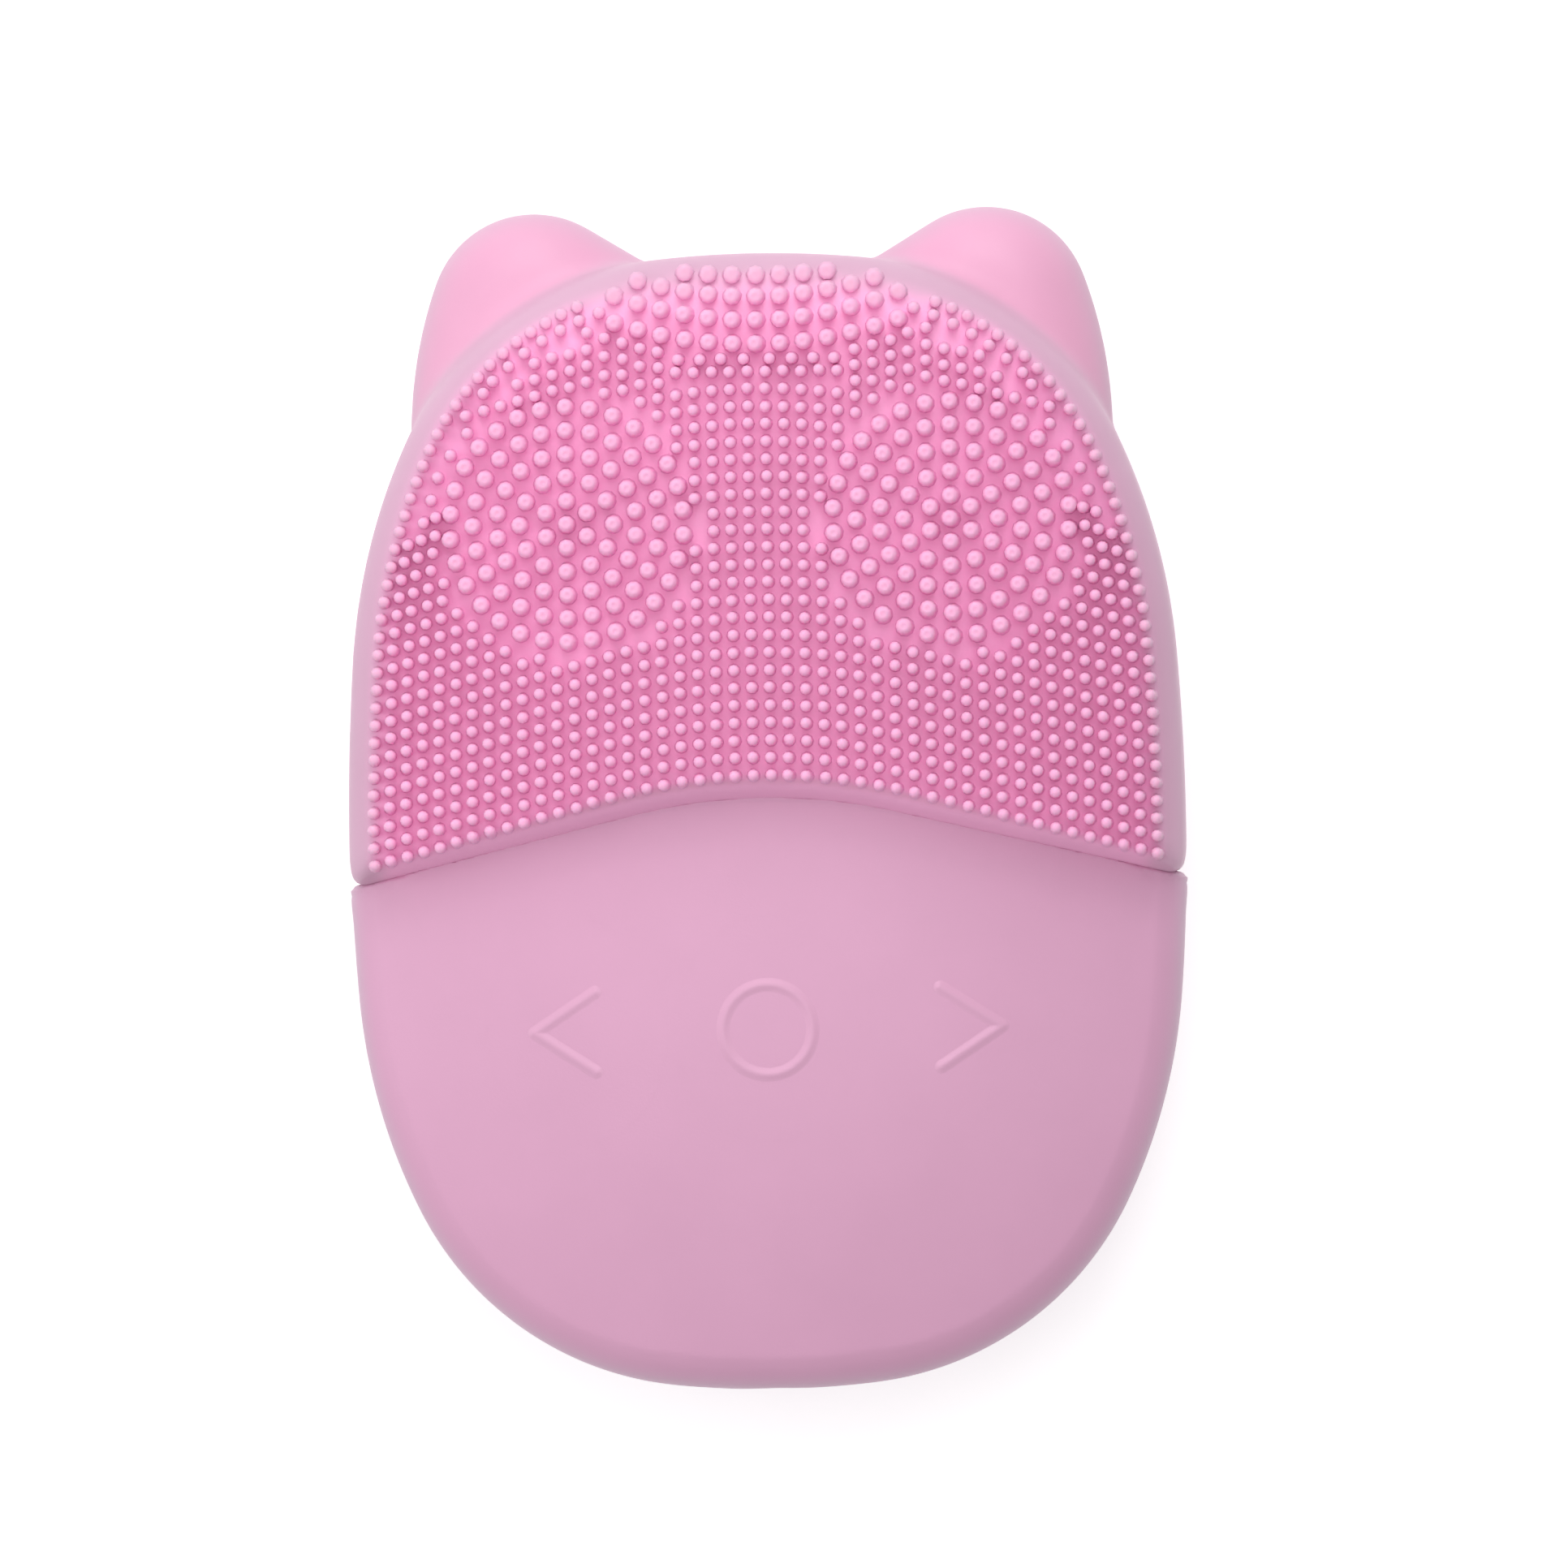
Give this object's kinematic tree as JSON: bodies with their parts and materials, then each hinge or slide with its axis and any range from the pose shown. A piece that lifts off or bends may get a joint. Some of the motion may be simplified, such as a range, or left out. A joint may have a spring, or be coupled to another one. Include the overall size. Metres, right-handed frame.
{
  "type": "facial cleansing brush",
  "caption": "Egg-shaped silicone facial cleansing brush with two rounded ears, a bristled front slab, a smooth three-key handle panel and a vibration motor.",
  "frame": {"origin": "on the surface that the back rests on, under the middle of the overall length and width", "axes": "+X across the brush to the faster key, +Y from the charging end to the ears, +Z out of the bristled front"},
  "size_m": [0.0652, 0.092, 0.028],
  "materials": {
    "body_silicone": "soft matt silicone, satin",
    "bristle_silicone": "soft translucent silicone, matt",
    "shell_plastic": "matt ABS",
    "stem_plastic": "matt nylon",
    "seal_rubber": "matt",
    "screw_steel": "zinc plated",
    "socket_plastic": "satin",
    "board_laminate": "solder mask, satin",
    "chip_plastic": "matt epoxy",
    "led_lens": "clear, slightly yellow",
    "component_ceramic": "matt ceramic",
    "connector_plastic": "satin nylon",
    "cell_pouch": "laminated foil, satin",
    "foam": "closed-cell foam, matt",
    "red_lead": "satin",
    "motor_steel": "plated, satin",
    "motor_plastic": "satin",
    "bush_brass": "sintered, satin",
    "magnet_ferrite": "ground ferrite",
    "contact_copper": "bright copper alloy",
    "winding_copper": "enamelled winding on steel laminations",
    "weight_tungsten": "sintered heavy metal"
  },
  "bodies": {
    "housing": {"head_cover": "body_silicone", "handle_sleeve": "body_silicone", "bristle_pad": "bristle_silicone", "front_shell": "shell_plastic", "rear_shell": "shell_plastic", "shell_seal": "seal_rubber", "shell_screws": "screw_steel", "charging_socket": "socket_plastic", "port_gasket": "seal_rubber", "circuit_board": "board_laminate", "controller_chip": "chip_plastic", "charger_chip": "chip_plastic", "status_led": "led_lens", "board_components": "component_ceramic", "battery_connector": "connector_plastic", "motor_connector": "connector_plastic", "battery_cell": "cell_pouch", "battery_foam": "foam", "board_foam": "foam", "battery_leads": "red_lead", "motor_leads": "red_lead", "motor_can": "motor_steel", "motor_end_cap": "motor_plastic", "motor_bushes": "bush_brass", "motor_magnets": "magnet_ferrite", "motor_brushes": "contact_copper", "motor_terminals": "contact_copper", "motor_sleeve": "seal_rubber", "motor_clamp": "shell_plastic", "clamp_screws": "screw_steel", "slower_switch_body": "chip_plastic", "power_switch_body": "chip_plastic", "faster_switch_body": "chip_plastic"},
    "slower_key": {"slower_button": "body_silicone", "slower_key_cap": "shell_plastic", "slower_switch_stem": "stem_plastic"},
    "power_key": {"power_button": "body_silicone", "power_key_cap": "shell_plastic", "power_switch_stem": "stem_plastic"},
    "faster_key": {"faster_button": "body_silicone", "faster_key_cap": "shell_plastic", "faster_switch_stem": "stem_plastic"},
    "motor_rotor": {"motor_shaft": "motor_steel", "rotor_core": "winding_copper", "commutator": "contact_copper", "eccentric_weight": "weight_tungsten"}
  },
  "joints": [
    {"name": "slower_press", "type": "slide", "parent": "housing", "child": "slower_key", "axis": [0, 0, -1], "range_m": [0, 0.00035], "stiffness_N_per_m": 800, "springref_m": -0.0004},
    {"name": "power_press", "type": "slide", "parent": "housing", "child": "power_key", "axis": [0, 0, -1], "range_m": [0, 0.00035], "stiffness_N_per_m": 800, "springref_m": -0.0004},
    {"name": "faster_press", "type": "slide", "parent": "housing", "child": "faster_key", "axis": [0, 0, -1], "range_m": [0, 0.00035], "stiffness_N_per_m": 800, "springref_m": -0.0004},
    {"name": "rotor_spin", "type": "hinge", "parent": "housing", "child": "motor_rotor", "pos_m": [0, 0.014, 0.011], "axis": [1, 0, 0], "continuous": true}
  ]
}
